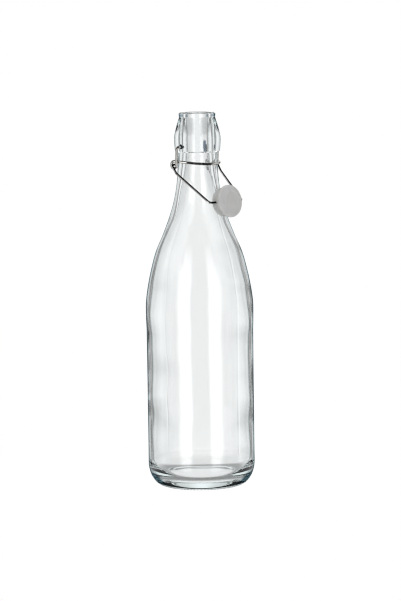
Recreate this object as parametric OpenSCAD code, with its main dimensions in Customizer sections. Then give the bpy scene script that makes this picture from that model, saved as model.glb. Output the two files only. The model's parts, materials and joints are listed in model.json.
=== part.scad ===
// Swing top bottle: one litre, clear glass, with a wire bail closure.
// Origin: centre of the plane the bottle stands on, on the bottle's axis.
// +Z points up the axis. The hinge line of the closure runs along X. The
// handle and the hanging stopper are at the front, on the -Y side.
// Millimetres.

/* [Bottle] */
// Overall height of the glass
bottle_h = 310; // [306:1:314]
// Outside diameter of the body
body_d = 88.6; // [86:0.2:90]
// Wall thickness of the body
wall_t = 3.6; // [3:0.1:4.4]
// Height at which the shoulder starts
shoulder_z = 153; // [150:1:156]
// Height of the rounded heel
heel_h = 20; // [17:0.5:22]
// Radius of the ring the bottle stands on
bearing_r = 31; // [30:0.5:33]
// Height of the push-up under the base
punt_h = 4.5; // [3:0.5:6]
// Glass thickness over the middle of the push-up
base_t = 4.8; // [4.4:0.1:5.4]
// Glass thickness over the ring the bottle stands on
ring_t = 8.4; // [7.8:0.1:9]
// Height at which the inside floor has turned up into the wall
floor_h = 24; // [22:0.5:27]

/* [Neck and finish] */
// Outside diameter of the neck just under the finish
neck_d = 31.8; // [31.4:0.1:32.2]
// Largest outside diameter of the barrel shaped finish
finish_d = 38.2; // [38:0.1:38.6]
// Height of the finish from its lower edge to the rim
finish_h = 32.4; // [32:0.1:33]
// Outside diameter of the lip at the rim
lip_d = 30.4; // [30:0.1:31]
// Diameter of the mouth
mouth_d = 19.2; // [18.6:0.1:19.6]
// Depth of the straight part of the mouth
mouth_len = 30; // [28:0.5:32]

/* [Closure wires] */
// Diameter of the lever wire
lever_wire_d = 2.2; // [2:0.1:2.3]
// Diameter of the bail wire
bail_wire_d = 2.0; // [1.8:0.1:2.1]
// Distance of the pivot holes below the rim
pivot_drop = 28; // [27.5:0.1:28.5]
// Radial clearance of the wire in the pivot holes
pivot_clear = 0.08; // [0.03:0.01:0.1]
// Radius of the dimple round each pivot hole at the surface
dimple_r = 2.3; // [2:0.1:2.5]
// Depth of the dimple
dimple_h = 2.2; // [2:0.1:2.6]
// Distance of each lever arm from the axis
arm_x = 23.5; // [23.2:0.1:24]
// Distance of the eyes below the pivot
eye_drop = 14.5; // [14.2:0.1:14.8]
// How far the arms lean back from the pivot to the eyes
lean = 1.0; // [0.6:0.1:1.2]
// Mean radius of the eyes
eye_r = 3.0; // [2.8:0.05:3.2]
// Radius of the handle round the neck
handle_r = 18.0; // [18:0.05:18.2]
// Slope of the handle down to the front
handle_slope = 6.5; // [6:0.5:8]
// Length of the bail from the eyes to the cross bar
bail_len = 47.4; // [47.2:0.1:47.8]
// Angle of the hanging bail below the horizontal
bail_droop = 39.6; // [38:0.1:41]
// Distance of each end of the cross bar from the middle
cross_x = 18.6; // [18.2:0.1:19]

/* [Stopper] */
// Diameter of the stopper's head
head_d = 23.6; // [23:0.1:24.4]
// Thickness of the head above the cross bar
head_up = 4.4; // [4:0.1:4.8]
// Thickness of the head below the cross bar
head_down = 3.4; // [3.2:0.1:3.6]
// Radial clearance of the cross bar in the head
cross_clear = 0.06; // [0.03:0.01:0.1]
// Diameter of the gasket
gasket_d = 26.6; // [26:0.1:27]
// Thickness of the gasket's rim
gasket_rim = 2.4; // [2:0.1:2.8]
// How far the gasket's dome stands out of its rim
gasket_dome = 1.8; // [1.5:0.1:2.2]
// Tilt of the hanging stopper above the horizontal
stopper_tilt = 9; // [5:1:13]

/* [Hidden] */
$fn = 96;

body_r = body_d / 2;
neck_r = neck_d / 2;
finish_r = finish_d / 2;
lip_r = lip_d / 2;
mouth_r = mouth_d / 2;
lever_r = lever_wire_d / 2;
bail_r = bail_wire_d / 2;
finish_z = bottle_h - finish_h;
mouth_z = bottle_h - mouth_len;
pivot_z = bottle_h - pivot_drop;
pin_in = 15.4; // distance of the lever wire's ends from the axis

// ---- Outlines ----

// The list backwards, leaving out its last "skip" items.
function reversed(list, skip = 0) =
    [for (i = [len(list) - 1 - skip : -1 : 0]) list[i]];

// Points along an elliptical arc; centre and radii are [r, z].
function arc(centre, radii, from, to, steps) =
    [for (i = [0 : steps])
        let (angle = from + (to - from) * i / steps)
        [centre[0] + radii[0] * cos(angle), centre[1] + radii[1] * sin(angle)]];
function round_arc(centre, radius, from, to, steps) =
    arc(centre, [radius, radius], from, to, steps);

// A smooth curve through stations [z, r], as cubic Hermite pieces. The slope
// at a station is that of the line between its neighbours.
function slope(stations, i) =
    let (before = stations[max(i - 1, 0)],
         after = stations[min(i + 1, len(stations) - 1)])
    (after[1] - before[1]) / (after[0] - before[0]);

// Point [r, z] at share t of the piece that starts at station i.
function curve_point(stations, i, t) =
    let (start = stations[i],
         end = stations[i + 1],
         span = end[0] - start[0])
    [(2*t*t*t - 3*t*t + 1) * start[1]
     + (t*t*t - 2*t*t + t) * slope(stations, i) * span
     + (-2*t*t*t + 3*t*t) * end[1]
     + (t*t*t - t*t) * slope(stations, i + 1) * span,
     start[0] + t * span];

// Points [r, z] along the curve, "steps" to each piece.
function curve(stations, steps) =
    let (last = stations[len(stations) - 1])
    concat(
        [for (i = [0 : len(stations) - 2]) for (k = [0 : steps - 1])
            curve_point(stations, i, k / steps)],
        [[last[1], last[0]]]);

// ---- Bottle ----

// Ogee from the body to the neck: share of the rise from the shoulder to the
// finish, share of the drop in radius still to come, extra glass inside.
rise = finish_z - shoulder_z;
drop = body_r - neck_r;
ogee = [
    [0.10, 0.955, 0],
    [0.22, 0.845, 0.1],
    [0.34, 0.695, 0.3],
    [0.45, 0.485, 0.4],
    [0.56, 0.302, 0.4],
    [0.66, 0.168, 0.2],
    [0.78, 0.066, 0.8]];

// Stations are [z, r].
outer_stations = concat(
    [[shoulder_z - 23, body_r],
     [shoulder_z - 12, body_r + 0.35],
     [shoulder_z, body_r + 0.3]],
    [for (row = ogee) [shoulder_z + row[0] * rise, neck_r + row[1] * drop]],
    [[shoulder_z + 0.90 * rise, neck_r + 0.022 * drop],
     [finish_z - 0.6, neck_r]]);

// Inside of the glass, from the floor up to the foot of the straight mouth.
inner_stations = concat(
    [[floor_h, body_r - wall_t],
     [shoulder_z - 12, body_r - wall_t + 0.2]],
    [for (row = ogee)
        [shoulder_z + row[0] * rise, neck_r + row[1] * drop - wall_t - row[2]]],
    [[shoulder_z + 0.90 * rise, mouth_r + 1.1],
     [mouth_z, mouth_r]]);

// Finish: a barrel with a square lower edge, necked in under a rounded bead.
lip_round = 1.6; // edge radius of the rim, outside and inside
finish_stations = [
    [finish_z + 0.5, finish_r - 0.7],
    [finish_z + 3, finish_r - 0.35],
    [finish_z + 8, finish_r],
    [finish_z + 12.5, finish_r - 0.05],
    [finish_z + 18, finish_r - 1.2],
    [finish_z + 22.5, finish_r - 2.4],
    [finish_z + 26, finish_r - 3.55],
    [finish_z + 28.2, lip_r - 0.25],
    [finish_z + 29.6, lip_r - 0.15],
    [finish_z + finish_h - lip_round, lip_r]];

// Push-up: a parabola inside the bearing ring.
punt_r = bearing_r - 3;
punt_pts = [for (i = [0 : 8]) let (t = i / 8) [punt_r * t, punt_h * (1 - t * t)]];
heel_pts = arc([bearing_r, heel_h], [body_r - bearing_r, heel_h], -90, 0, 12);

// Inside floor: a low dome over the push-up, then a rounded corner.
floor_r = bearing_r - 2;
dome_h = punt_h + base_t - ring_t;
floor_pts = concat(
    [for (i = [0 : 9]) let (t = i / 10)
        [floor_r * t, ring_t + dome_h * pow(cos(90 * t), 2)]],
    arc([floor_r, floor_h], [body_r - wall_t - floor_r, floor_h - ring_t],
        -90, 0, 12));

// Half section of the glass: up the outside, over the rim and down the inside.
// The floor's last point is also the first of the inner curve.
glass = concat(
    punt_pts,
    heel_pts,
    curve(outer_stations, 4),
    curve(finish_stations, 4),
    round_arc([lip_r - lip_round, bottle_h - lip_round], lip_round, 0, 90, 6),
    round_arc([mouth_r + lip_round, bottle_h - lip_round], lip_round, 90, 180, 6),
    reversed(curve(inner_stations, 3)),
    reversed(floor_pts, skip = 1));

hole_r = lever_r + pivot_clear;
hole_end_gap = 0.6; // from the end of the pin to the bottom of its hole
hole_cut = 12; // length of the cutter, which runs out past the glass
dimple_foot_r = hole_r - 0.1;
dimple_over = 1; // how far the dimple's cutter passes the surface

// Blind pivot hole in the side of the finish, with its dimple.
module pivot_hole(side) {
    translate([side * (pin_in - hole_end_gap), 0, pivot_z])
        rotate([0, side * 90, 0])
            cylinder(h = hole_cut, r = hole_r);
    cone_h = dimple_h + dimple_over;
    translate([side * (finish_r - dimple_h), 0, pivot_z])
        rotate([0, side * 90, 0])
            cylinder(h = cone_h, r1 = dimple_foot_r,
                     r2 = dimple_foot_r + (dimple_r - hole_r) * cone_h / dimple_h);
}

module bottle() {
    color([0.86, 0.93, 0.93, 0.4])
    difference() {
        rotate_extrude(convexity = 6) polygon(glass);
        for (side = [-1, 1]) pivot_hole(side);
    }
}

// ---- Bent wire ----

// A bend is a shade thinner than the straights, which run a little way into
// it, so that their surfaces meet without coinciding.
bend_thinning = 0.96;
bend_lap = 0.2;

function unit(v) = v / norm(v);
// Direction of the path from point i to the next, and its turn at point i.
function heading(path, i) = unit(path[i + 1] - path[i]);
function turn(path, i) = acos(heading(path, i - 1) * heading(path, i));
// Distance from the corner at point i to where its bend starts.
function setback(path, bends, i) = bends[i] * tan(turn(path, i) / 2);

module straight(start, end, radius) {
    v = end - start;
    length = norm(v);
    translate(start) rotate([0, acos(v[2] / length), atan2(v[1], v[0])])
        cylinder(h = length, r = radius, $fn = 32);
}

module bend(path, bends, i, radius) {
    along = heading(path, i - 1);
    next = heading(path, i);
    inward = unit(next - (along * next) * along);
    normal = cross(along, inward);
    centre = path[i] - setback(path, bends, i) * along + bends[i] * inward;
    multmatrix([for (k = [0 : 2]) [-inward[k], along[k], normal[k], centre[k]]])
        rotate_extrude(angle = turn(path, i), $fn = 60)
            translate([bends[i], 0]) circle(r = radius * bend_thinning, $fn = 24);
}

// Round wire along the path, with a bend of radius bends[i] at point i. The
// first and last items of bends stand for the wire's ends and aren't used.
module wire(path, bends, radius) {
    last = len(path) - 1;
    for (i = [0 : last - 1]) {
        trim_start = i == 0 ? 0 : setback(path, bends, i) - bend_lap;
        trim_end = i == last - 1 ? 0 : setback(path, bends, i + 1) - bend_lap;
        straight(path[i] + trim_start * heading(path, i),
                 path[i + 1] - trim_end * heading(path, i), radius);
    }
    for (i = [1 : last - 1]) bend(path, bends, i, radius);
}

// ---- Lever wire ----

// Each eye is six corners of an octagon round its centre, seen along X. Each
// corner is one step closer to the axis than the one before.
eye_corners = 6;
eye_step = 0.1;
eye_y = eye_r + lean;
eye_z = pivot_z - eye_drop;
eye_corner_r = eye_r / cos(22.5);
function corner_angle(k) = -22.5 - 45 * k;
function eye_corner(side, k) = [
    side * (arm_x - eye_step * (k + 1)),
    eye_y - eye_corner_r * cos(corner_angle(k)),
    eye_z + eye_corner_r * sin(corner_angle(k))];

// From the pin in the finish, down the arm, then under and round the eye.
function lever_side(side) = concat(
    [[side * pin_in, 0, pivot_z], [side * arm_x, 0, pivot_z]],
    [for (k = [0 : eye_corners - 1]) eye_corner(side, k)]);
arm_bend = 2.3;
eye_bend = 2.4;
leg_bend = 2.3; // at the last corner, where the wire leaves for the handle
lever_bends = concat(
    [0, arm_bend],
    [for (k = [1 : eye_corners - 1]) eye_bend],
    [leg_bend]);

// Seen from above, the legs leave the eyes at a tangent to the handle's circle
// round the axis and would cross at the apex, in front of it.
leg_start = eye_corner(1, eye_corners - 1);
leg_x = leg_start[0];
leg_y = leg_start[1];
tangent_angle = atan2(-leg_y, leg_x) + acos(handle_r / norm([leg_x, leg_y]));
apex_y = -handle_r / sin(tangent_angle);
apex_z = eye_z + eye_r - (leg_y - apex_y) * tan(handle_slope);

// The handle is one wide bend in a plane that falls towards the front.
module lever_wire() {
    color([0.78, 0.77, 0.74])
        wire(concat(lever_side(1), [[0, apex_y, apex_z]], reversed(lever_side(-1))),
             concat(lever_bends, [handle_r], reversed(lever_bends)),
             lever_r);
}

// ---- Bail wire ----

bail_gap = 0.6; // between the bail's leg and the outside of the eye
bail_x = arm_x - eye_step * (eye_corners + 1) / 2 + lever_r + bail_r + bail_gap;
hook_w = 5.2; // from the leg in through the eye
hook_h = 2.8; // length of the end turned down inside the eye
kink_along = 8.4; // place of the kink along the leg, below it and inwards
kink_below = 2.2;
kink_in = 0.5;
cross_y = eye_y - bail_len * cos(bail_droop);
cross_z = eye_z - bail_len * sin(bail_droop);
bail_along = [0, -cos(bail_droop), -sin(bail_droop)];
bail_below = [0, sin(bail_droop), -cos(bail_droop)];

// Hooked end through the eye, leg with a kink, and end of the cross bar.
function bail_side(side) = [
    [side * (bail_x - hook_w), eye_y, eye_z - hook_h],
    [side * (bail_x - hook_w), eye_y, eye_z],
    [side * bail_x, eye_y, eye_z],
    [side * (bail_x - kink_in), eye_y, eye_z]
        + kink_along * bail_along + kink_below * bail_below,
    [side * cross_x, cross_y, cross_z]];
bail_bends = [0, 1.3, 1.5, 6, 2.6];

module bail_wire() {
    color([0.62, 0.61, 0.58])
        wire(concat(bail_side(-1), reversed(bail_side(1))),
             concat(bail_bends, reversed(bail_bends)),
             bail_r);
}

// ---- Stopper and gasket ----

// Both are drawn with the cross bar at the origin and the gasket's dome
// towards +Z, then laid on the bail.
module on_bail() {
    translate([0, cross_y, cross_z]) rotate([90 - stopper_tilt, 0, 0])
        children();
}

// Button that holds the gasket: a stem with a wider flange over its end.
stem_r = 4.2;
stem_h = 1.6;
stem_sink = 0.2; // how far the stem starts inside the head
flange_r = stem_r + 0.8;
flange_h = 1.2;
flange_z = head_down + stem_h - 0.8;

module stopper() {
    head_r = head_d / 2;
    top_round = 1.2;
    low_round = 0.4;
    color([0.86, 0.86, 0.84]) on_bail() difference() {
        union() {
            rotate_extrude() polygon(concat(
                [[0, -head_up]],
                round_arc([head_r - top_round, -head_up + top_round],
                          top_round, -90, 0, 5),
                round_arc([head_r - low_round, head_down - low_round],
                          low_round, 0, 90, 3),
                [[0, head_down]]));
            translate([0, 0, head_down - stem_sink])
                cylinder(h = stem_h + stem_sink, r = stem_r);
            translate([0, 0, flange_z]) cylinder(h = flange_h, r = flange_r);
        }
        // Hole for the cross bar.
        translate([-head_d, 0, 0]) rotate([0, 90, 0])
            cylinder(h = 2 * head_d, r = bail_r + cross_clear);
    }
}

module gasket() {
    fit = 0.02; // gap between the gasket and the stopper
    back_z = head_down + fit;
    rim_z = back_z + gasket_rim;
    dome_z = rim_z + gasket_dome;
    outer_r = gasket_d / 2;
    back_round = 0.5;
    rim_round = 1;
    cone_r = outer_r - 1.6; // foot of the cone that rises from the rim
    dome_r = 8.2; // top of the cone
    cone_h = gasket_dome - 0.5;
    dome_round = 0.6;
    bore_z = back_z - 1;
    color([0.9, 0.9, 0.88]) on_bail() difference() {
        rotate_extrude() polygon(concat(
            [[0, back_z]],
            round_arc([outer_r - back_round, back_z + back_round],
                      back_round, -90, 0, 3),
            round_arc([outer_r - rim_round, rim_z - rim_round],
                      rim_round, 0, 70, 4),
            [for (i = [1 : 6]) let (t = i / 6)
                [cone_r * (1 - t) + dome_r * t, rim_z + cone_h * t]],
            round_arc([dome_r - dome_round, dome_z - dome_round],
                      dome_round, 60, 90, 2),
            [[0, dome_z]]));
        // Room for the stem, then for the flange.
        translate([0, 0, bore_z])
            cylinder(h = flange_z + 2 * fit - bore_z, r = stem_r + fit);
        translate([0, 0, flange_z - fit])
            cylinder(h = flange_h + 2 * fit, r = flange_r + fit);
    }
}

bottle();
lever_wire();
bail_wire();
stopper();
gasket();
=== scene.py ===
"""Looks for the swing top bottle: glass, drawn wires, moulded stopper and silicone gasket.

The bottle stands on the origin with Z up. The lever pivots on the X axis line through the finish,
and the wire eyes and the bail lie on the -Y side of that line. The camera stands at -X -Y in a
white studio. Shapes are worked out in mm and built in metres.
"""

import json
import math
from contextlib import contextmanager

import bmesh
import bpy
import numpy as np
from mathutils import Matrix, Vector


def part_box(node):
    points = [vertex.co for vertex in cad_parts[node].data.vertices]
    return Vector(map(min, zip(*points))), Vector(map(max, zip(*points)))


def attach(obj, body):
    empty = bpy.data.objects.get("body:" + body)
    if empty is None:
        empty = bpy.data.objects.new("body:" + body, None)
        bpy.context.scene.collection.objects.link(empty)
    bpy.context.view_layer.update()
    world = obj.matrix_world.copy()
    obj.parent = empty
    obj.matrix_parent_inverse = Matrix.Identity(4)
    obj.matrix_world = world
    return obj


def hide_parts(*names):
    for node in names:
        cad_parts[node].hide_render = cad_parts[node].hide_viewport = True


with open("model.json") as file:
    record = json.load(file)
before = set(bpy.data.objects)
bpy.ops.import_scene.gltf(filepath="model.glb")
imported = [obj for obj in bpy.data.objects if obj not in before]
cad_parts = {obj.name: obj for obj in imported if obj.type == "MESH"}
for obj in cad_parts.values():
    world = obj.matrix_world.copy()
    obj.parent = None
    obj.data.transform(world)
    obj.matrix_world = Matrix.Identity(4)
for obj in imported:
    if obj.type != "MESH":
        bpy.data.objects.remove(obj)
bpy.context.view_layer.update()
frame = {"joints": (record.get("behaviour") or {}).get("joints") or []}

MM = 0.001
JOINTS = {joint["name"]: joint for joint in frame["joints"]}


def joint_mm(name, axis):
    return JOINTS[name]["pos_m"][axis] * 1000.0


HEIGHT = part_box("bottle")[1].z * 1000.0
PIVOT_Z = joint_mm("lever_pivot", 2)
EYE_Y, EYE_Z = joint_mm("bail_swing", 1), joint_mm("bail_swing", 2)
BAR_Y, BAR_Z = joint_mm("stopper_tilt", 1), joint_mm("stopper_tilt", 2)


# ------------------------------------------------------------ mesh helpers
@contextmanager
def editing(mesh):
    """The mesh as a bmesh, written back at the end."""
    edit = bmesh.new()
    edit.from_mesh(mesh)
    yield edit
    edit.to_mesh(mesh)
    edit.free()


def shade(obj, angle):
    """Smooth faces, with edges sharper than angle (degrees) kept sharp."""
    mesh = obj.data
    mesh.polygons.foreach_set("use_smooth", [True] * len(mesh.polygons))
    limit = math.radians(angle)
    with editing(mesh) as edit:
        for edge in edit.edges:
            edge.smooth = not (len(edge.link_faces) == 2 and edge.calc_face_angle(0.0) > limit)
    mesh.update()


def mesh_object(name, verts, faces, smooth_angle=40.0):
    mesh = bpy.data.meshes.new(name)
    mesh.from_pydata([tuple(vert) for vert in verts], [], faces)
    mesh.validate()
    mesh.update()
    obj = bpy.data.objects.new(name, mesh)
    bpy.context.scene.collection.objects.link(obj)
    with editing(mesh) as edit:
        bmesh.ops.recalc_face_normals(edit, faces=edit.faces)
    shade(obj, smooth_angle)
    return obj


def cut(obj, tools, angle):
    """Takes each tool out of obj, removes the tools and shades obj afresh."""
    for tool in tools:
        modifier = obj.modifiers.new("cut", "BOOLEAN")
        modifier.operation = "DIFFERENCE"
        modifier.object = tool
        # Guards against a Blender build that has no Manifold solver.
        try:
            modifier.solver = "MANIFOLD"
        except TypeError:
            modifier.solver = "EXACT"
        bpy.context.view_layer.update()
        graph = bpy.context.evaluated_depsgraph_get()
        new_mesh = bpy.data.meshes.new_from_object(obj.evaluated_get(graph))
        obj.modifiers.clear()
        old_mesh = obj.data
        obj.data = new_mesh
        bpy.data.meshes.remove(old_mesh)
    for tool in tools:
        bpy.data.objects.remove(tool)
    with editing(obj.data) as edit:
        bmesh.ops.remove_doubles(edit, verts=edit.verts, dist=1e-7)
        bmesh.ops.dissolve_degenerate(edit, edges=edit.edges, dist=1e-7)
    shade(obj, angle)


def revolve(name, profile, segments, reshape=None, smooth_angle=40.0):
    """A solid of revolution about Z from a profile of (r, z) that starts and ends on the axis.

    reshape(index, radii, heights, angles) gives the radii and heights round one profile point.
    """
    verts, rings = [], []
    angles = np.arange(segments) * 2 * math.pi / segments
    for index, (radius, height) in enumerate(profile):
        start = len(verts)
        if abs(radius) < 1e-6:
            rings.append([start])
            verts.append((0.0, 0.0, height * MM))
            continue
        radii = np.full(segments, float(radius))
        heights = np.full(segments, float(height))
        if reshape is not None:
            radii, heights = reshape(index, radii, heights, angles)
        rings.append(list(range(start, start + segments)))
        for angle, r, z in zip(angles, radii, heights):
            verts.append((r * math.cos(angle) * MM, r * math.sin(angle) * MM, z * MM))
    faces = []
    for ring, after in zip(rings[:-1], rings[1:]):
        for i in range(segments):
            k = (i + 1) % segments
            if len(ring) == 1:
                faces.append((ring[0], after[i], after[k]))
            elif len(after) == 1:
                faces.append((ring[i], after[0], ring[k]))
            else:
                faces.append((ring[i], after[i], after[k], ring[k]))
    return mesh_object(name, verts, faces, smooth_angle)


def peg(name, radius, x0, x1, z, end_radius=None):
    """A capped bar along X above the X axis, from radius at x0 to end_radius at x1."""
    segments = 48
    verts, faces = [], []
    for x, r in ((x0, radius), (x1, radius if end_radius is None else end_radius)):
        for i in range(segments):
            angle = 2 * math.pi * i / segments
            verts.append((x * MM, r * math.cos(angle) * MM, (z + r * math.sin(angle)) * MM))
    for i in range(segments):
        k = (i + 1) % segments
        faces.append((i, k, segments + k, segments + i))
    faces.append(tuple(range(segments - 1, -1, -1)))
    faces.append(tuple(range(segments, 2 * segments)))
    return mesh_object(name, verts, faces)


def arc(centre_r, centre_z, size_r, size_z, start, end, steps):
    """Points (r, z) on an elliptic arc between two angles in degrees."""
    angles = [math.radians(start + (end - start) * k / steps) for k in range(steps + 1)]
    return [(centre_r + size_r * math.cos(angle), centre_z + size_z * math.sin(angle))
            for angle in angles]


def curve(stations, steps):
    """Points (r, z) on the smooth cubic curve through stations (z, r)."""
    last = len(stations) - 1
    slopes = []
    for i in range(len(stations)):
        low, high = stations[max(i - 1, 0)], stations[min(i + 1, last)]
        slopes.append((high[1] - low[1]) / (high[0] - low[0]))
    points = []
    for i in range(last):
        (z0, r0), (z1, r1) = stations[i], stations[i + 1]
        span = z1 - z0
        for k in range(steps):
            t = k / steps
            r = ((2*t**3 - 3*t*t + 1) * r0 + (t**3 - 2*t*t + t) * slopes[i] * span
                 + (-2*t**3 + 3*t*t) * r1 + (t**3 - t*t) * slopes[i + 1] * span)
            points.append((r, z0 + t * span))
    points.append((stations[-1][1], stations[-1][0]))
    return points


def hand_over(obj, body, part):
    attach(obj, body)
    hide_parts(part)


# ------------------------------------------------------------ glass bottle
BODY_R, WALL, SHOULDER_Z = 44.3, 3.6, 153.0
HEEL_H, BEARING_R = 20.0, 31.0
PUNT_R, PUNT_H, BASE_T = BEARING_R - 3, 4.5, 4.8
RING_T = 8.4                                      # glass over the bearing ring
FLOOR_R, FLOOR_Z = BEARING_R - 2, 24.0            # inside floor: where it turns up, and its top
NECK_R, FINISH_R, FINISH_H = 15.9, 19.1, 32.4
LIP_R, LIP_ROUND, MOUTH_R, MOUTH_LEN = 15.2, 1.6, 9.6, 30.0
FINISH_Z = HEIGHT - FINISH_H
RISE, DROP = FINISH_Z - SHOULDER_Z, BODY_R - NECK_R
BODY_TOP = SHOULDER_Z - 23
KNURLS, KNURL_H = 72, .42
HOLE_R, HOLE_IN, HOLE_OUT = 1.18, 14.8, 26.8      # pivot hole, and the x it is cut between
DIMPLE_R, DIMPLE_H = 2.3, 2.2                     # countersink at the mouth of the hole
GLASS_SHARP = 35.0

# Shoulder to neck: (share of RISE above the shoulder, share of DROP outside the neck).
NECK_SHARES = [(.10, .955), (.22, .845), (.34, .695), (.45, .485),
               (.56, .302), (.66, .168), (.78, .066), (.90, .022)]
# Thickness beyond WALL at the first seven of those.
NECK_EXTRA = (0, .1, .3, .4, .4, .2, .8)
# (z, r) up the outside, from the straight body to the foot of the finish.
OUTSIDE = ([(BODY_TOP, BODY_R), (SHOULDER_Z - 12, BODY_R + .35), (SHOULDER_Z, BODY_R + .3)]
           + [(SHOULDER_Z + up * RISE, NECK_R + out * DROP) for up, out in NECK_SHARES]
           + [(FINISH_Z - 0.6, NECK_R)])
# (z, r) up the finish, to where the lip rounds over.
FINISH = ([(FINISH_Z + up, FINISH_R + out) for up, out in (
              (.5, -.7), (3, -.35), (8, 0), (12.5, -.05), (18, -1.2), (22.5, -2.4), (26, -3.55))]
          + [(FINISH_Z + 28.2, LIP_R - .25), (FINISH_Z + 29.6, LIP_R - .15),
             (FINISH_Z + FINISH_H - LIP_ROUND, LIP_R)])
# (z, r) up the inside wall to the bore.
INSIDE = ([(FLOOR_Z, BODY_R - WALL), (SHOULDER_Z - 12, BODY_R - WALL + .2)]
          + [(SHOULDER_Z + up * RISE, NECK_R + out * DROP - WALL - extra)
             for (up, out), extra in zip(NECK_SHARES, NECK_EXTRA)]
          + [(SHOULDER_Z + .90 * RISE, MOUTH_R + 1.1), (HEIGHT - MOUTH_LEN, MOUTH_R)])


def inside_wall():
    """The inside curve from the floor up, its long spans divided about every 3 mm."""
    line = curve(INSIDE, 10)
    points = []
    for (r0, z0), (r1, z1) in zip(line[:-1], line[1:]):
        cuts = max(1, int(abs(z1 - z0) / 3.0))
        points += [(r0 + (r1 - r0) * k / cuts, z0 + (z1 - z0) * k / cuts) for k in range(cuts)]
    return points + [line[-1]]


def inside_floor():
    """The inside floor, domed over the punt, from the axis out and up into the wall."""
    dome = PUNT_H + BASE_T - RING_T
    points = [(FLOOR_R * t, RING_T + dome * math.cos(math.pi / 2 * t) ** 2)
              for t in np.linspace(0, 1, 25)[:-1]]
    return points + arc(FLOOR_R, FLOOR_Z, BODY_R - WALL - FLOOR_R, FLOOR_Z - RING_T, -90, 0, 30)


def bottle_zones():
    """(zone, points) from the middle of the punt, up the outside and down the inside."""
    body = [(BODY_R, z) for z in np.linspace(HEEL_H + 2.5, BODY_TOP, 44)[:-1]]
    lip_z = HEIGHT - LIP_ROUND
    bore = [(MOUTH_R, z) for z in np.linspace(lip_z, HEIGHT - MOUTH_LEN, 10)[1:-1]]
    return [
        ("punt", [(PUNT_R * t, PUNT_H * (1 - t * t)) for t in np.linspace(0, 1, 21)]),
        ("ring", [(PUNT_R + .25 * k, 0.0) for k in range(1, 12)]),
        ("heel", arc(BEARING_R, HEEL_H, BODY_R - BEARING_R, HEEL_H, -90, 0, 36)),
        ("outside", body + curve(OUTSIDE, 12)),
        ("finish", curve(FINISH, 10)),
        ("lip", arc(LIP_R - LIP_ROUND, lip_z, LIP_ROUND, LIP_ROUND, 0, 90, 12)[1:]),
        ("lip", arc(MOUTH_R + LIP_ROUND, lip_z, LIP_ROUND, LIP_ROUND, 90, 180, 12)),
        ("inside", bore + inside_wall()[::-1]),
        ("inside", inside_floor()[-2::-1]),
    ]


def smooth(start, end, value):
    t = np.clip((value - start) / (end - start), 0, 1)
    return t * t * (3 - 2 * t)


def glass_waves(zone, r, z, a):
    """Moves one ring of the glass: uneven inside, nearly true outside, knurled underneath."""
    h = z[0]
    if zone == "inside":
        # The blown inside: long soft waves up the wall and a few rounder ones.
        strength = float(smooth(12, 40, h) * (1 - smooth(225, 262, h)))
        wave = (.40 * np.sin(h / 10.5 + .7 * np.sin(a + .4) + .8)
                + .26 * np.sin(h / 5.7 + .8 * np.cos(a) + 2.1)
                + .30 * np.sin(a + 1.0 + h / 40.0) + .12 * np.sin(2 * a + h / 17.0 + .6)
                + .05 * np.sin(5 * a + h / 9.0 + 4.0) + .16 * math.sin(h / 19.0 + 2.5))
        r = r + strength * wave
    if zone in ("outside", "heel") and h > 6:
        strength = float(smooth(6, 40, h) * (1 - smooth(235, 270, h)))
        wave = (.03 * np.sin(2 * a + h / 17.0) + .015 * np.sin(4 * a - h / 11.0 + 1.4)
                + .03 * math.sin(h / 12.3 + .5))
        r = r - strength * (.12 + wave)
        # Mould seam: two fine raised lines, at +Y and -Y, across the hinge line.
        seam_h, seam_w = .09, .5
        off = np.abs(np.angle(np.exp(1j * (a - math.pi / 2))))
        off = np.minimum(off, np.abs(np.angle(np.exp(1j * (a + math.pi / 2)))))
        r = r + strength * seam_h * np.exp(-(off * r / seam_w) ** 2)
    if zone in ("ring", "heel") and h < 1.2:
        # Knurls: short bars round the bearing ring, standing on the floor plane.
        bar = np.cos(KNURLS * a) * .5 + .5
        if zone == "ring":
            depth = float(smooth(PUNT_R, PUNT_R + .8, r[0]))
        else:
            depth = float(1 - smooth(33.0, 36.5, r[0]))
        z = z + KNURL_H * (1 - depth * bar ** 1.5)
    return r, z


def build_bottle():
    zones, profile = [], []
    for zone, points in bottle_zones():
        zones += [zone] * len(points)
        profile += points
    bottle = revolve("bottle_glass", profile, 360,
                     lambda index, r, z, a: glass_waves(zones[index], r, z, a), GLASS_SHARP)
    # The cone is cut 1 mm past the surface, on the slope it has over DIMPLE_H.
    cone_r = HOLE_R - .1
    cone_end = cone_r + (DIMPLE_R - HOLE_R) * (DIMPLE_H + 1) / DIMPLE_H
    tools = []
    for side, sign in (("a", 1), ("b", -1)):
        tools.append(peg("hole_" + side, HOLE_R, sign * HOLE_IN, sign * HOLE_OUT, PIVOT_Z))
        tools.append(peg("dimple_" + side, cone_r, sign * (FINISH_R - DIMPLE_H),
                         sign * (FINISH_R + 1), PIVOT_Z, cone_end))
    cut(bottle, tools, GLASS_SHARP)
    hand_over(bottle, "bottle", "bottle")
    return bottle


# ------------------------------------------------------------------- wires
LEVER_R, BAIL_R = 1.1, 1.0
WIRE_SEGMENTS, BEND_STEP, STRAIGHT_STEP = 28, 4.0, 2.5       # round the wire, degrees, mm
# Rounding of a cut end: (distance in, radius), as shares of the wire radius.
WIRE_END = [(0.0, .55), (.05, .80), (.16, .93), (.32, 1.0)]

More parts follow.
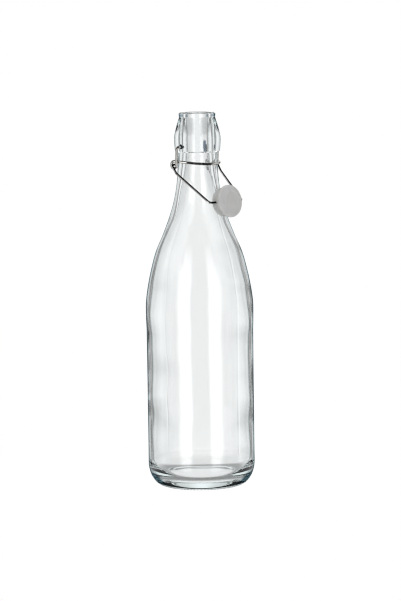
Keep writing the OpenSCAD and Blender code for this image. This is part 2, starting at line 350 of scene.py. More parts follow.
PIN_IN, ARM_X = 15.4, 23.5                        # x of the pin's inner end and of the arm
EYE_R, EYE_CORNERS, EYE_SHIFT = 3.0, 6, .1        # the eye moves in by EYE_SHIFT a corner
EYE_OUT = -EYE_Y                                  # eye centre, outward along -Y
EYE_CORNER_R = EYE_R / math.cos(math.radians(22.5))
HANDLE_R, HANDLE_SLOPE = 18.0, 6.5
LEVER_BENDS = [0, 2.3, 2.4, 2.4, 2.4, 2.4, 2.4, 2.3]         # bend radii, pin to handle

BAIL_OUT = ARM_X - .35 + LEVER_R + BAIL_R + .6    # x of the leg, clear outside the lever
HOOK_WIDE, HOOK_LONG = 5.2, 2.8
KINK_ALONG, KINK_OFF, KINK_IN = 8.4, 2.2, .5      # the leg's kink, from the eye
CROSS_X, DROOP = 18.6, 39.6                       # half width of the cross bar, leg slope
BAIL_BENDS = [0, 1.3, 1.5, 6, 2.6]                # bend radii, hook to cross bar


def unit(vector):
    return vector / np.linalg.norm(vector)


def centre_line(points, bends):
    """Points along a wire: straights with an arc of radius bends[i] at point i."""
    corners = [np.array(point, float) for point in points]
    line = [corners[0]]

    def run_to(end):
        start = line[-1]
        steps = max(1, int(round(np.linalg.norm(end - start) / STRAIGHT_STEP)))
        for k in range(1, steps + 1):
            line.append(start + (end - start) * k / steps)

    for i in range(1, len(corners) - 1):
        before = unit(corners[i] - corners[i - 1])
        after = unit(corners[i + 1] - corners[i])
        turn = math.acos(max(-1.0, min(1.0, float(before @ after))))
        back = bends[i] * math.tan(turn / 2)
        inward = unit(after - (before @ after) * before)
        centre = corners[i] - back * before + bends[i] * inward
        run_to(corners[i] - back * before)
        steps = max(2, int(math.degrees(turn) / BEND_STEP))
        for k in range(1, steps + 1):
            t = turn * k / steps
            line.append(centre - bends[i] * inward * math.cos(t)
                        + bends[i] * before * math.sin(t))
    run_to(corners[-1])
    kept = [line[0]]
    for point in line[1:]:
        if np.linalg.norm(point - kept[-1]) > 0.02:
            kept.append(point)
    return kept


def wire_stations(line, radius):
    """(centre, direction, share of radius) along the wire, with its ends rounded over."""
    last = len(line) - 1
    along = [unit(line[min(i + 1, last)] - line[max(i - 1, 0)]) for i in range(len(line))]
    head = [(line[0] + along[0] * radius * deep, along[0], share) for deep, share in WIRE_END]
    tail = [(line[-1] - along[-1] * radius * deep, along[-1], share)
            for deep, share in reversed(WIRE_END)]
    return head + [(line[i], along[i], 1.0) for i in range(1, last)] + tail


def tube(name, line, radius):
    """A round wire swept along a centre line, carrying its length and side as attributes."""
    stations = wire_stations(line, radius)
    previous = stations[0][1]
    side = unit(np.cross(previous, [0.3, 0.5, 0.81]))
    segments = WIRE_SEGMENTS
    verts = []
    for centre, along, share in stations:
        # Carry the side vector round the bend without twisting it.
        axis = np.cross(previous, along)
        sine = np.linalg.norm(axis)
        if sine > 1e-9:
            turn = math.atan2(sine, float(previous @ along))
            axis = axis / sine
            side = (side * math.cos(turn) + np.cross(axis, side) * math.sin(turn)
                    + axis * (axis @ side) * (1 - math.cos(turn)))
        side = unit(side - (side @ along) * along)
        other = np.cross(along, side)
        previous = along
        for i in range(segments):
            a = 2 * math.pi * i / segments
            offset = (side * math.cos(a) + other * math.sin(a)) * radius * share
            verts.append((centre + offset) * MM)
    rows = len(stations)
    faces = [(j * segments + i, j * segments + (i + 1) % segments,
              (j + 1) * segments + (i + 1) % segments, (j + 1) * segments + i)
             for j in range(rows - 1) for i in range(segments)]
    faces.append(tuple(range(segments - 1, -1, -1)))
    faces.append(tuple(range((rows - 1) * segments, rows * segments)))
    wire = mesh_object(name, verts, faces, 50.0)

    # Distance along the wire and round it, for the drawing marks.
    lengths = [0.0]
    for here, after in zip(stations[:-1], stations[1:]):
        lengths.append(lengths[-1] + float(np.linalg.norm(after[0] - here[0])))
    attribute = wire.data.attributes.new("wire_len", "FLOAT", "POINT")
    attribute.data.foreach_set("value", np.repeat(np.array(lengths, np.float32), segments))
    attribute = wire.data.attributes.new("wire_side", "FLOAT_VECTOR", "POINT")
    turns = [2 * math.pi * i / segments for i in range(segments)]
    ring = np.array([[math.cos(turn), math.sin(turn), 0] for turn in turns])
    attribute.data.foreach_set("vector", np.tile(ring, (rows, 1)).astype(np.float32).ravel())
    return wire


def lever_side(sign):
    """Corners of the pin, the arm and the turn round the eye, on one side."""
    points = [(sign * PIN_IN, 0, PIVOT_Z), (sign * ARM_X, 0, PIVOT_Z)]
    for k in range(EYE_CORNERS):
        a = math.radians(-22.5 - 45 * k)
        points.append((sign * (ARM_X - EYE_SHIFT * (k + 1)),
                       -(EYE_OUT + EYE_CORNER_R * math.cos(a)),
                       EYE_Z + EYE_CORNER_R * math.sin(a)))
    return points


def build_lever():
    """Both sides, joined by one wide bend round the neck for the handle."""
    # The handle runs from the last eye corners at a tangent to a circle round the neck axis.
    leg_x = ARM_X - EYE_SHIFT * EYE_CORNERS
    leg_out = EYE_OUT + EYE_CORNER_R * math.cos(math.radians(112.5))
    tangent = math.atan2(leg_out, leg_x) + math.acos(HANDLE_R / math.hypot(leg_x, leg_out))
    apex = HANDLE_R / math.sin(tangent)
    fall = (apex - leg_out) * math.tan(math.radians(HANDLE_SLOPE))
    path = lever_side(1) + [(0, -apex, EYE_Z + EYE_R - fall)] + lever_side(-1)[::-1]
    bends = LEVER_BENDS + [HANDLE_R] + LEVER_BENDS[::-1]
    lever = tube("lever_wire_drawn", centre_line(path, bends), LEVER_R)
    hand_over(lever, "lever", "lever_wire")
    return lever


def bail_side(sign):
    """Corners of the hook through the eye, the kinked leg and the end of the cross bar."""
    cos_droop, sin_droop = math.cos(math.radians(DROOP)), math.sin(math.radians(DROOP))
    return [(sign * (BAIL_OUT - HOOK_WIDE), EYE_Y, EYE_Z - HOOK_LONG),
            (sign * (BAIL_OUT - HOOK_WIDE), EYE_Y, EYE_Z),
            (sign * BAIL_OUT, EYE_Y, EYE_Z),
            (sign * (BAIL_OUT - KINK_IN),
             EYE_Y - KINK_ALONG * cos_droop + KINK_OFF * sin_droop,
             EYE_Z - KINK_ALONG * sin_droop - KINK_OFF * cos_droop),
            (sign * CROSS_X, BAR_Y, BAR_Z)]


def build_bail():
    path = bail_side(-1) + bail_side(1)[::-1]
    bail = tube("bail_wire_drawn", centre_line(path, BAIL_BENDS + BAIL_BENDS[::-1]), BAIL_R)
    hand_over(bail, "bail", "bail_wire")
    return bail


# ------------------------------------------------- stopper and its gasket
# Both are turned about their own Z, with the cross bar through the origin, then hung on the bail.
HEAD_R, HEAD_UP, HEAD_DOWN = 11.8, 4.4, 3.4
HEAD_ROUND, HEAD_EDGE = 1.2, .4
RIB_COUNT, RIB_DEPTH = 60, .10
GASKET_R, RIM, DOME = 13.3, 2.4, 1.8
GASKET_Z = HEAD_DOWN + .02
TILT = 9.0
ON_BAIL = (Matrix.Translation((0, BAR_Y * MM, BAR_Z * MM))
           @ Matrix.Rotation(math.radians(90 - TILT), 4, "X"))

# (r, z) of the head: a shallow dish, the ribbed side, then a button that holds the gasket.
HEAD = ([(0, -HEAD_UP + .35), (5.6, -HEAD_UP + .35), (6.1, -HEAD_UP + .25),
         (6.5, -HEAD_UP + .05), (7.0, -HEAD_UP)]
        + arc(HEAD_R - HEAD_ROUND, -HEAD_UP + HEAD_ROUND, HEAD_ROUND, HEAD_ROUND, -90, 0, 8)
        + [(HEAD_R, z) for z in np.linspace(-HEAD_UP + 1.5, HEAD_DOWN - .7, 8)]
        + arc(HEAD_R - HEAD_EDGE, HEAD_DOWN - HEAD_EDGE, HEAD_EDGE, HEAD_EDGE, 0, 90, 4)
        + [(8.0, HEAD_DOWN), (4.2, HEAD_DOWN), (4.2, HEAD_DOWN + .8), (5.0, HEAD_DOWN + .8),
           (5.0, HEAD_DOWN + 1.8), (4.8, HEAD_DOWN + 2.0), (0, HEAD_DOWN + 2.0)])
# (r, z) of the gasket: the pocket over the button, the rim, then a low cone.
GASKET = ([(0, HEAD_DOWN + 2.04), (4.9, HEAD_DOWN + 2.04), (5.03, HEAD_DOWN + 1.9),
           (5.03, HEAD_DOWN + .77), (4.23, HEAD_DOWN + .77), (4.23, GASKET_Z), (8.0, GASKET_Z)]
          + arc(GASKET_R - .5, GASKET_Z + .5, .5, .5, -90, 0, 5)
          + arc(GASKET_R - 1, GASKET_Z + RIM - 1, 1, 1, 0, 70, 7)
          + [((GASKET_R - 1.6) * (1 - t) + 8.2 * t, GASKET_Z + RIM + (DOME - .5) * t)
             for t in np.linspace(.05, .95, 8)]
          + arc(7.6, GASKET_Z + RIM + DOME - .6, .6, .6, 60, 90, 4)
          + [(4.0, GASKET_Z + RIM + DOME), (0, GASKET_Z + RIM + DOME)])


def ribs(_index, r, z, a):
    """Fine grip ribs round the side of the head."""
    side = (r > HEAD_R - .35) & (z > -HEAD_UP + 1.0) & (z < HEAD_DOWN - .5)
    return r - side * RIB_DEPTH * (.5 + .5 * np.cos(RIB_COUNT * a)), z


def build_stopper():
    stopper = revolve("stopper_moulded", HEAD, 240, ribs)
    cut(stopper, [peg("bar_hole", BAIL_R + .06, -14, 14, 0)], 40.0)
    stopper.data.transform(ON_BAIL)
    hand_over(stopper, "stopper", "stopper")
    return stopper


def build_gasket():
    gasket = revolve("gasket_silicone", GASKET, 200, smooth_angle=50.0)
    gasket.data.transform(ON_BAIL)
    hand_over(gasket, "stopper", "gasket")
    return gasket


# ------------------------------------------------------------ node helpers
class Nodes:
    """Builds a node tree. Any input takes a plain value or the socket to link from."""

    def __init__(self, tree):
        self.tree = tree
        tree.nodes.clear()

    def node(self, kind, inputs=None, **settings):
        node = self.tree.nodes.new("ShaderNode" + kind)
        for key, value in settings.items():
            setattr(node, key, value)
        for socket, value in (inputs or {}).items():
            if isinstance(value, bpy.types.NodeSocket):
                self.tree.links.new(value, node.inputs[socket])
            else:
                node.inputs[socket].default_value = value
        return node

    def math(self, operation, *values):
        return self.node("Math", dict(enumerate(values)), operation=operation).outputs[0]

    def vector(self, operation, inputs):
        return self.node("VectorMath", inputs, operation=operation)

    def times(self, first, *others):
        for other in others:
            first = self.math("MULTIPLY", first, other)
        return first

    def inverse(self, value):
        return self.math("SUBTRACT", 1.0, value)

    def degrees(self, value):
        return self.times(value, 180 / math.pi)

    def halved(self, value):
        """-1..1 brought to 0..1."""
        return self.math("ADD", self.times(value, .5), .5)

    def one_where(self, mask, value):
        """1 where the mask is 1, value where it is 0."""
        return self.math("ADD", self.times(value, self.inverse(mask)), mask)

    def rise(self, value, start, end):
        """0 below start, 1 above end, smooth between."""
        return self.node("MapRange", {"From Min": start, "From Max": end, "Value": value},
                         interpolation_type="SMOOTHSTEP").outputs[0]

    def fall(self, value, start, end):
        """1 below start, 0 above end, smooth between."""
        return self.inverse(self.rise(value, start, end))

    def band(self, value, rise_start, rise_end, fall_start, fall_end):
        """A rise followed by a fall."""
        return self.times(self.rise(value, rise_start, rise_end),
                          self.fall(value, fall_start, fall_end))

    def remap(self, value, low, high):
        """0..1 to low..high."""
        return self.node("MapRange", {"To Min": low, "To Max": high, "Value": value}).outputs[0]

    def ramp(self, value, stops):
        """A colour ramp through stops of (position, rgb)."""
        node = self.node("ValToRGB", {"Fac": value})
        elements = node.color_ramp.elements
        while len(elements) > 1:
            elements.remove(elements[-1])
        elements[0].position = stops[0][0]
        elements[0].color = (*stops[0][1], 1)
        for position, colour in stops[1:]:
            elements.new(position).color = (*colour, 1)
        return node.outputs["Color"]

    def mix_colour(self, share, base, other, blend="MIX"):
        return self.node("Mix", {0: share, 6: base, 7: other},
                         data_type="RGBA", blend_type=blend).outputs[2]

    def mix_shader(self, share, base, other):
        return self.node("MixShader", {0: share, 1: base, 2: other}).outputs[0]

    def noise(self, at, scale, detail, rough):
        return self.node("TexNoise", {"Scale": scale, "Detail": detail, "Roughness": rough,
                                      "Vector": at}).outputs[0]

    def bump(self, height, strength, distance, under=None):
        inputs = {"Strength": strength, "Distance": distance, "Height": height}
        if under is not None:
            inputs["Normal"] = under
        return self.node("Bump", inputs).outputs["Normal"]

    def object_place(self):
        return self.node("TexCoord").outputs["Object"]

    def xyz(self, vector):
        return self.node("SeparateXYZ", {0: vector}).outputs

    def camera_normal(self):
        """The surface normal as the camera stands: x to its right, y up."""
        normal = self.node("NewGeometry").outputs["Normal"]
        turned = self.node("VectorTransform", {0: normal}, vector_type="NORMAL",
                           convert_from="WORLD", convert_to="CAMERA")
        return self.xyz(turned.outputs[0])


def new_material(name):
    material = bpy.data.materials.new(name)
    material.use_nodes = True
    return material, Nodes(material.node_tree)


def assign(obj, material):
    obj.data.materials.clear()
    obj.data.materials.append(material)


def grey(level):
    return (level, level, level)


# --------------------------------------------------------- glass materials
WHITE = (1, 1, 1, 1)
# Glass colour with painted edge shade, from square on (0) to grazing (1).
GLASS_EDGE_PAINTED_SHADE = [(0.0, (.985, .988, .988)), (.73, (.97, .98, .98)), (.79, (.72, .78, .79)),
              (.85, (.20, .29, .32)), (1.0, (.06, .11, .13))]
# Painted shade: the teal-black heel crescents, from square on (0) to grazing (1).
HEEL_PAINTED_SHADE = [(.0, grey(1)), (.50, grey(1)), (.60, (.13, .22, .26)), (.80, (.10, .18, .22)),
                 (.89, (.52, .64, .67)), (1.0, (.6, .7, .72))]
# Painted shade under the rim, from square on (0) to grazing (1).
UNDER_RIM_PAINTED_SHADE = [(.0, grey(1)), (.30, grey(1)), (.44, (.42, .52, .58)), (.78, (.16, .25, .32)),
            (1.0, (.5, .58, .62))]
# Painted shade: the broken dark line above the foot.
FOOT_PAINTED_SHADE = (.12, .22, .25, 1)
# Painted shade: the dark streak on the bore by each pivot hole.
STREAK_PAINTED_SHADE = (.10, .15, .22, 1)
# Heights in metres where each painted shade mark fades in and out.
HEEL_BAND = (.0020, .0040, .0095, .0165)
FOOT_BAND = (.0006, .0012, .0016, .0026)
UNDER_RIM_BAND = (.3060, .3069, .3080, .3091)
RIM_RISE = (.3064, .3080)
# The bore's painted shade streak in metres: distance off the pivot line in y and z, and its reach in
# x.
STREAK_Y, STREAK_Z = (.0012, .0022), (.0034, .0050)
STREAK_X = (.0080, .0084, .0112, .0118)
STREAK_RISE, STREAK_RAGGED = .4, .0022            # mm above the pivot; metres of ragged edge


def bore_painted_shade(net, place, x, y, z, backfacing):
    """Each pivot hole's painted shade: a dark streak on the wall of the bore, seen through the
    finish.
    """
    grain = net.noise(place, scale=700.0, detail=2.0, rough=.6)
    ragged = net.times(net.math("SUBTRACT", grain, .5), STREAK_RAGGED)
    off_y = net.math("ABSOLUTE", net.math("ADD", y, ragged))
    off_z = net.math("ABSOLUTE", net.math("SUBTRACT", z, (PIVOT_Z + STREAK_RISE) * MM))
    off_x = net.math("ABSOLUTE", x)
    across = net.times(net.fall(off_y, *STREAK_Y), net.fall(off_z, *STREAK_Z))
    return net.times(across, net.band(off_x, *STREAK_X), net.inverse(backfacing))


def glass_tint_and_painted_shade(net, place, backfacing, true_normal):
    """Near white square on, with painted edge shade at grazing angles and painted shade marks at
    heel, foot, rim and bore.
    """
    x, y, z = net.xyz(place)
    normal_z = net.xyz(true_normal)[2]
    facing = net.node("LayerWeight", {"Blend": 0.5}).outputs["Facing"]

    # Painted edge shade: flat faces, such as the floor, aren't edges, and the rim is a little
    # lighter.
    wall_like = net.fall(net.math("ABSOLUTE", normal_z), .35, .75)
    rim_easing = net.inverse(net.times(net.rise(z, *RIM_RISE), .20))
    colour = net.ramp(net.times(facing, wall_like, rim_easing), GLASS_EDGE_PAINTED_SHADE)

    # Painted shade: teal-black crescents low on the thick heel, and a broken dark line just above
    # the foot.
    outside_below = net.times(net.inverse(backfacing), net.rise(net.times(normal_z, -1.0), .10, .25))
    at_heel = net.band(z, *HEEL_BAND)
    colour = net.mix_colour(net.times(outside_below, at_heel), colour,
                            net.ramp(facing, HEEL_PAINTED_SHADE), "MULTIPLY")
    broken = net.rise(net.noise(place, scale=38.0, detail=1.0, rough=.4), .50, .58)
    at_foot = net.times(net.band(z, *FOOT_BAND), broken)
    colour = net.mix_colour(net.times(outside_below, at_foot), colour, FOOT_PAINTED_SHADE, "MULTIPLY")

    # Painted shade: dark marks under the rim at each side, where the lip turns away.
    under_rim = net.times(net.inverse(backfacing), net.band(z, *UNDER_RIM_BAND))
    colour = net.mix_colour(under_rim, colour, net.ramp(facing, UNDER_RIM_PAINTED_SHADE), "MULTIPLY")
    streak = bore_painted_shade(net, place, x, y, z, backfacing)
    return net.mix_colour(streak, colour, STREAK_PAINTED_SHADE, "MULTIPLY")


def clear_glass():
    """Clear soda glass: sharp refraction and a teal tint that builds with thickness."""
    material, net = new_material("clear_soda_glass")
    geometry = net.node("NewGeometry").outputs
    place = net.object_place()
    wave = net.noise(place, scale=55.0, detail=2.0, rough=.45)
    fine = net.noise(place, scale=420.0, detail=2.0, rough=.5)
    normal = net.bump(fine, strength=.02, distance=.0002,
                      under=net.bump(wave, strength=.03, distance=.0010))
    # The glass colour holds painted edge shade and painted shade marks.
    colour = glass_tint_and_painted_shade(net, place, geometry["Backfacing"], geometry["True Normal"])
    glass = net.node("BsdfGlass", {"Roughness": 0.0, "IOR": 1.5, "Normal": normal,
                                   "Color": colour}, distribution="BECKMANN")
    # Shadow and diffuse rays pass straight through.
    clear = net.node("BsdfTransparent", {"Color": (.96, .975, .975, 1)})
    ray = net.node("LightPath").outputs
    soft = net.math("MAXIMUM", ray["Is Shadow Ray"], ray["Is Diffuse Ray"])
    tint = net.node("VolumeAbsorption", {"Color": (.20, .78, .80, 1), "Density": 1.5})
    net.node("OutputMaterial", {
        "Surface": net.mix_shader(soft, glass.outputs[0], clear.outputs[0]),
        "Volume": tint.outputs[0]})
    return material


def ground_glass_and_painted_shade():
    """The pivot holes are ground, not fire polished: dull, and painted near black as shade through
    the clear glass.
    """
    material, net = new_material("ground_pivot_hole_painted_shade")
    grit = net.noise(net.object_place(), scale=2600.0, detail=3.0, rough=.6)
    # Painted shade: a near black base colour for the hole walls.
    dull = net.node("BsdfPrincipled", {
        "Base Color": net.ramp(grit, [(.3, (.010, .022, .026)), (.7, (.035, .055, .06))]),
        "Roughness": .55,
        "Normal": net.bump(grit, strength=.3, distance=.00006)})
    glass = net.node("BsdfGlass", {"Color": (.55, .62, .64, 1), "Roughness": .30, "IOR": 1.5})
    glass_share = .22
    net.node("OutputMaterial", {
        "Surface": net.mix_shader(glass_share, dull.outputs[0], glass.outputs[0])})
    return material


def grind_holes(bottle):
    """Gives the walls and ends of the pivot holes the second material."""
    bottle.data.materials.append(ground_glass_and_painted_shade())
    flare = (DIMPLE_R - HOLE_R) / DIMPLE_H
    for face in bottle.data.polygons:
        centre = face.center * 1000.0
        x = abs(centre.x)
        off = math.hypot(centre.y, centre.z - PIVOT_Z)
        reach = HOLE_R + .07 + max(0.0, (x - (FINISH_R - DIMPLE_H)) * flare)
        under_surface = math.hypot(centre.x, centre.y) < FINISH_R - .02
        in_wall = x > HOLE_IN - .1 and off < reach and under_surface and abs(face.normal.x) < .85
        in_end = HOLE_IN - .1 < x < HOLE_IN + .1 and off < HOLE_R
        if in_wall or in_end:
            face.material_index = 1


# --------------------------------------------------------- wire materials
# Painted dark reflection line across the wire, from the side turned away (0) to the side turned
# towards (1).
LEVER_PAINTED_REFLECTION = [(.0, grey(.9)), (.10, grey(.5)), (.18, grey(.03)), (.72, grey(.02)),
              (.84, grey(1)), (1, grey(1))]
BAIL_PAINTED_REFLECTION = [(.0, grey(1)), (.40, grey(1)), (.52, grey(.10)), (.60, grey(.02)),
             (.92, grey(.02)), (1, grey(.10))]
# Degrees round the neck from -Y, negative towards -X, where the lever's painted dark line shows.
HANDLE_SPANS = [(-76, -69, -56, -50), (-37, -31, -10, -3)]
HANDLE_TOP = (.2712, .2722)                       # metres; the line fades out above
PIN_X, PIN_Z = (.0186, .0196), (.2795, .2800)     # metres; the pins lie inside and above


def handle_painted_line_spans(net, x, y, z):
    """Two stretches of the handle, between camera and neck, where the painted black line shows."""
    turn = net.degrees(net.math("ARCTAN2", x, net.times(y, -1.0)))
    first, second = [net.band(turn, *span) for span in HANDLE_SPANS]
    return net.times(net.math("ADD", first, second), net.fall(z, *HANDLE_TOP))


def drawn_steel(name, base, bright, toward, painted_line_stops, painted_line_where=None):
    """Bright drawn wire: die lines along it, faint mottling, and a painted dark reflection line.

    toward is the (right, up) camera direction across which the painted dark line's stops are
    measured.
    """
    material, net = new_material(name)
    length = net.node("Attribute", attribute_name="wire_len").outputs["Fac"]
    side = net.node("Attribute", attribute_name="wire_side").outputs["Vector"]
    # Noise stretched along the wire: many turns round it to each step down it.
    around = net.vector("SCALE", {0: side, "Scale": 9.0}).outputs[0]
    down = net.node("CombineXYZ", {2: net.times(length, .12)}).outputs[0]
    stretched = net.vector("ADD", {0: around, 1: down}).outputs[0]
    lines = net.noise(stretched, scale=1.6, detail=3.0, rough=.6)
    place = net.object_place()
    cloud = net.noise(place, scale=260.0, detail=3.0, rough=.55)
    pits = net.noise(place, scale=1800.0, detail=2.0, rough=.6)
    colour = net.ramp(cloud, [(.25, tuple(c * .82 for c in base)), (.55, base), (.8, bright)])

    # Painted reflection: a black line along the wire, set by the camera-facing normal, where the
    # studio's dark gap would reflect.
    view = net.camera_normal()
    flank = net.math("ADD", net.times(view[0], toward[0]), net.times(view[1], toward[1]))
    wobble = net.times(net.math("SUBTRACT", lines, .5), .4)
    dark = net.ramp(net.halved(net.math("ADD", flank, wobble)), painted_line_stops)
    x, y, z = net.xyz(place)
    where = painted_line_where(net, x, y, z) if painted_line_where else 1.0
    colour = net.mix_colour(where, colour, dark, "MULTIPLY")

    # Painted shade: the pins, where they sit in the ground holes of the finish, are dull and near
    # black.
    pin_painted_shade = net.times(net.fall(net.math("ABSOLUTE", x), *PIN_X), net.rise(z, *PIN_Z))
    colour = net.mix_colour(pin_painted_shade, colour, (.02, .02, .02, 1))
    normal = net.bump(pits, strength=.03, distance=.00004,
                      under=net.bump(lines, strength=.18, distance=.00006))
    metal = net.node("BsdfPrincipled", {
        "Base Color": colour,
        "Metallic": 1.0,
        "Roughness": net.remap(lines, low=.05, high=.13),
        "Normal": normal})
    net.node("OutputMaterial", {"Surface": metal.outputs[0]})
    return material


# ------------------------------------------------------ polymer materials
def milky(name, colour, deep, grain, through, rough, painted_shade_stops):
    """Milky moulded polymer: light scatters inside, the skin is satin with a fine mould grain.

    grain is the scale of the skin noise and through the share of light that passes straight.
    The last argument gives painted shade across it, from the camera's left (0) to its right (1).
    """
    material, net = new_material(name)
    place = net.object_place()
    cloud = net.noise(place, scale=190.0, detail=3.0, rough=.5)
    skin = net.noise(place, scale=grain, detail=2.0, rough=.6)
    # Painted sheen: the colour lightens towards grazing edges.
    facing = net.node("LayerWeight", {"Blend": .45}).outputs["Facing"]
    edge = (*[min(1, c * 1.12) for c in colour], 1)
    body = net.mix_colour(facing, net.ramp(cloud, [(.3, deep), (.7, colour)]), edge)
    # Painted shade across the part, darker towards the camera's left.
    painted_side_shade = net.ramp(net.halved(net.camera_normal()[0]), painted_shade_stops)
    body = net.mix_colour(1.0, body, painted_side_shade, "MULTIPLY")

    normal = net.bump(skin, strength=.12, distance=.00006,
                      under=net.bump(cloud, strength=.10, distance=.0003))
    satin = net.node("BsdfPrincipled", {
        "Base Color": body,
        "Normal": normal,
        "Roughness": net.remap(skin, low=rough, high=rough + .15),
        "IOR": 1.42,
        "Subsurface Weight": .6,
        "Subsurface Radius": (1.0, .95, .9),
        "Subsurface Scale": .003})
    translucent = net.node("BsdfTranslucent", {"Color": body})
    translucent_share = .25
    inside = net.mix_shader(translucent_share, satin.outputs[0], translucent.outputs[0])
    clear = net.node("BsdfTransparent", {"Color": (*[c * .98 for c in colour], 1)})
    net.node("OutputMaterial", {"Surface": net.mix_shader(through, inside, clear.outputs[0])})
    return material


# ------------------------------------------------------------------- floor
# Lengths in metres.
FLOOR_RINGS = [.05, .1, .2, .4, .7, 1.0, 1.4]
FLOOR_SEGMENTS, FLOOR_LEVEL = 96, -0.0002
FLOOR_SEEN, FLOOR_SHADED = .88, .26               # brightness through the glass: fair, shaded
SHADE_RING = (.026, .034, .036, .060)             # where the shade round the foot comes and goes
FAR_FADE, NEAR_FADE = (.5, 1.35), (.06, .13)      # fade out to the camera, and to other rays


def white_sweep():
    """Glowing white floor: pure white to the camera, shaded round the foot to other rays."""
    material, net = new_material("white_sweep")
    camera_ray = net.node("LightPath").outputs["Is Camera Ray"]
    distance = net.vector("LENGTH", {0: net.object_place()}).outputs["Value"]
    shaded = net.times(net.band(distance, *SHADE_RING), FLOOR_SEEN - FLOOR_SHADED)
    through = net.math("SUBTRACT", FLOOR_SEEN, shaded)
    glow = net.node("Emission", {"Color": WHITE, "Strength": net.one_where(camera_ray, through)})
    far = net.times(net.rise(distance, *FAR_FADE), camera_ray)
    near = net.times(net.rise(distance, *NEAR_FADE), net.inverse(camera_ray))
    clear = net.node("BsdfTransparent")
    net.node("OutputMaterial", {"Surface": net.mix_shader(
        net.math("ADD", far, near), glow.outputs[0], clear.outputs[0])})
    return material


def build_floor():
    verts = [(0, 0, FLOOR_LEVEL)]
    for radius in FLOOR_RINGS:
        for i in range(FLOOR_SEGMENTS):
            a = 2 * math.pi * i / FLOOR_SEGMENTS
            verts.append((radius * math.cos(a), radius * math.sin(a), FLOOR_LEVEL))
    faces = [(0, 1 + i, 1 + (i + 1) % FLOOR_SEGMENTS) for i in range(FLOOR_SEGMENTS)]
    for j in range(len(FLOOR_RINGS) - 1):
        inner, outer = 1 + j * FLOOR_SEGMENTS, 1 + (j + 1) * FLOOR_SEGMENTS
        for i in range(FLOOR_SEGMENTS):
            k = (i + 1) % FLOOR_SEGMENTS
            faces.append((inner + i, outer + i, outer + k, inner + k))
    floor = mesh_object("studio_floor", verts, faces)
    assign(floor, white_sweep())


# ------------------------------------------------------------------ studio
# Angles in degrees: azimuth from straight behind the bottle, elevation above the camera's axis.
# Four numbers are a band that fades in and out, two are a single rise or fall.
BACKDROP_AZ, BACKDROP_UP = (28, 33), (-34, -22, 55, 75)
BACKDROP_SPAN = 40.0                              # azimuth at the end of the falloff curve
BACKDROP_FALL = [(0, 1.0), (.06, 1.0), (.16, .90), (.30, .76), (.60, .66), (1, .62)]
LOW_GREY_DOWN, LOW_GREY_AZ, LOW_GREY = (-1, 6), (1, 8), .20
SIDE_AZ, SIDE_UP, SIDE_LEVEL = (40, 46, 84, 100), (-26, -10), .90
BOX_AZ, BOX_UP, BOX_LEVEL = (17, 29, 40, 57), (-50, -35, 12, 22), 2.5    # az from the camera's side
FILL_UP, FILL_AZ, FILL_LEVEL = (-30, -16), (100, 125), .30
TOP_UP, TOP_LEVEL = (40, 60), .80
LOW_AZ, LOW_UP, LOW_LEVEL = (50, 62, 120, 135), (-84, -74, -26, -14), 1.15
BACKDROP_LEVEL, DIM_LEVEL, DIFFUSE_LEVEL = 1.0, .05, .80


def backdrop(net, azimuth, up):
    """The white behind the bottle, brightest in the middle."""
    falloff = net.node("FloatCurve", {"Value": net.times(azimuth, 1 / BACKDROP_SPAN)})
    points = falloff.mapping.curves[0].points
    points[0].location, points[1].location = BACKDROP_FALL[0], BACKDROP_FALL[-1]
    for across, level in BACKDROP_FALL[1:-1]:
        points.new(across, level)
    falloff.mapping.update()
    glow = net.times(falloff.outputs[0], net.fall(azimuth, *BACKDROP_AZ), net.band(up, *BACKDROP_UP))
    # It greys a little towards the sides low down.
    down = net.rise(net.times(up, -1.0), *LOW_GREY_DOWN)
    greying = net.times(down, net.rise(azimuth, *LOW_GREY_AZ), LOW_GREY)
    return net.times(glow, net.inverse(greying))


def build_world():
    """A backdrop behind, white side walls, two tall softboxes on the camera's side, else dim."""
    world = bpy.data.worlds.new("studio")
    bpy.context.scene.world = world
    world.use_nodes = True
    net = Nodes(world.node_tree)
    ray = net.node("LightPath").outputs
    toward = net.vector("NORMALIZE", {0: net.node("TexCoord").outputs["Camera"]}).outputs[0]
    right, above, away = net.xyz(toward)
    azimuth = net.math("ABSOLUTE", net.degrees(net.math("ARCTAN2", right, away)))
    up = net.degrees(net.math("ARCSINE", above))

    back = backdrop(net, azimuth, up)
    side_wall = net.times(net.band(azimuth, *SIDE_AZ), net.rise(up, *SIDE_UP))
    from_front = net.math("SUBTRACT", 180.0, azimuth)
    box = net.times(net.band(from_front, *BOX_AZ), net.band(up, *BOX_UP))
    light = net.math(
        "ADD",
        net.math("ADD", net.times(back, BACKDROP_LEVEL), net.times(box, BOX_LEVEL)),
        net.math("ADD", net.times(side_wall, SIDE_LEVEL), DIM_LEVEL))

    # Refracted rays also see a faint fill and a bright top.
    refracted = ray["Is Transmission Ray"]
    fill = net.times(net.rise(up, *FILL_UP), net.fall(azimuth, *FILL_AZ))
    light = net.math("MAXIMUM", light, net.times(fill, refracted, FILL_LEVEL))
    light = net.math("MAXIMUM", light, net.times(net.rise(up, *TOP_UP), refracted, TOP_LEVEL))
    # Polished wire also sees the bright sweep low down at each side.
    low = net.times(net.band(azimuth, *LOW_AZ), net.band(up, *LOW_UP))
    light = net.math("MAXIMUM", light, net.times(low, ray["Is Glossy Ray"], LOW_LEVEL))
    # Diffuse surfaces see one even soft light; the camera sees white.
    diffuse_ray = ray["Is Diffuse Ray"]
    light = net.math("ADD", net.times(light, net.inverse(diffuse_ray)),
                     net.times(diffuse_ray, DIFFUSE_LEVEL))
    light = net.one_where(ray["Is Camera Ray"], light)
    background = net.node("Background", {"Color": WHITE, "Strength": light})
    net.node("OutputWorld", {"Surface": background.outputs[0]})


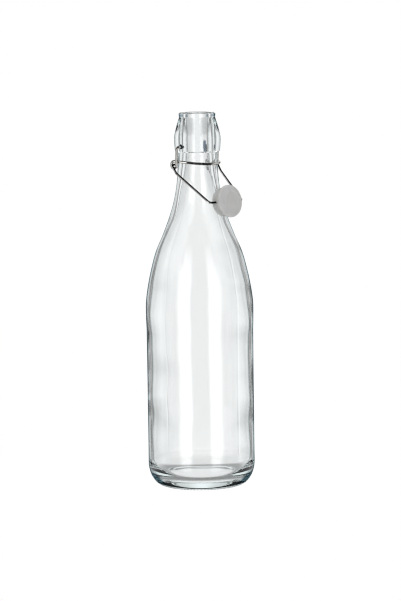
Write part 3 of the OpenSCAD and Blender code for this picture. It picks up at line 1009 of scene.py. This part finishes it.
def build_key_light():
    """A soft light aimed at the middle of the bottle, unseen by glass, metal and camera."""
    distance = 1.6
    data = bpy.data.lights.new("key_light", "AREA")
    data.shape = "RECTANGLE"
    data.size, data.size_y = 1.0, 1.0
    data.energy = 5.0
    light = bpy.data.objects.new("key_light", data)
    bpy.context.scene.collection.objects.link(light)
    direction = Vector((-1.1, -.5, 1.1)).normalized()
    light.location = direction * distance + Vector((0, 0, HEIGHT / 2 * MM))
    light.rotation_mode = "QUATERNION"
    light.rotation_quaternion = direction.to_track_quat("Z", "Y")
    light.visible_camera = False
    light.visible_glossy = False
    light.visible_transmission = False


# ------------------------------------------------------ camera and render
CAMERA_AZ, CAMERA_DIST, CAMERA_H = math.radians(-44.0), 2.100, 0.378    # azimuth from -Y; metres
PITCH, YAW, ROLL = math.radians(-6.0912), math.radians(-0.0224), math.radians(-0.7764)


def build_camera():
    data = bpy.data.cameras.new("camera")
    camera = bpy.data.objects.new("camera", data)
    bpy.context.scene.collection.objects.link(camera)
    data.sensor_width = 36.0
    data.lens = 152.45
    data.clip_start, data.clip_end = .05, 20.0
    place = Vector((math.sin(CAMERA_AZ) * CAMERA_DIST, -math.cos(CAMERA_AZ) * CAMERA_DIST,
                    CAMERA_H))
    heading = CAMERA_AZ + YAW
    ahead = Vector((-math.sin(heading) * math.cos(PITCH), math.cos(heading) * math.cos(PITCH),
                    math.sin(PITCH)))
    level = ahead.cross(Vector((0, 0, 1))).normalized()
    upright = level.cross(ahead)
    right = level * math.cos(ROLL) + upright * math.sin(ROLL)
    above = -level * math.sin(ROLL) + upright * math.cos(ROLL)
    rows = [(right[i], above[i], -ahead[i], place[i]) for i in range(3)]
    camera.matrix_world = Matrix((*rows, (0, 0, 0, 1)))
    bpy.context.scene.camera = camera


def set_render():
    scene = bpy.context.scene
    scene.view_settings.view_transform = "Standard"
    scene.view_settings.look = "None"
    scene.view_settings.exposure = 0.0
    cycles = scene.cycles
    cycles.max_bounces = 32
    cycles.transmission_bounces = 32
    cycles.glossy_bounces = 12
    cycles.transparent_max_bounces = 24
    cycles.diffuse_bounces = 4
    cycles.caustics_reflective = False
    cycles.caustics_refractive = False
    cycles.blur_glossy = 0.0
    cycles.use_denoising = True
    cycles.filter_width = 1.15


# ------------------------------------------------------------------- build
bottle = build_bottle()
lever = build_lever()
bail = build_bail()
stopper = build_stopper()
gasket = build_gasket()

assign(bottle, clear_glass())
grind_holes(bottle)
assign(lever, drawn_steel(
    "drawn_lever_steel", base=(.50, .49, .47), bright=(.64, .63, .61), toward=(.0, 1.0),
    painted_line_stops=LEVER_PAINTED_REFLECTION, painted_line_where=handle_painted_line_spans))
assign(bail, drawn_steel(
    "drawn_bail_steel", base=(.82, .81, .80), bright=(.93, .92, .91), toward=(.707, .707),
    painted_line_stops=BAIL_PAINTED_REFLECTION))
assign(stopper, milky(
    "moulded_polythene", colour=(.665, .665, .66), deep=(.61, .61, .605), grain=1500.0,
    through=.34, rough=.30, painted_shade_stops=[(0, (.93, .94, .93)), (.4, grey(1))]))
assign(gasket, milky(
    "milky_silicone", colour=(.635, .632, .632), deep=(.595, .592, .592), grain=900.0,
    through=.08, rough=.42,
    painted_shade_stops=[(0, (.76, .77, .72)), (.30, (.88, .88, .85)), (.46, grey(1)), (.80, grey(1)),
                (.93, (1.0, 1.0, .98))]))

build_floor()
build_world()
build_key_light()
build_camera()
set_render()
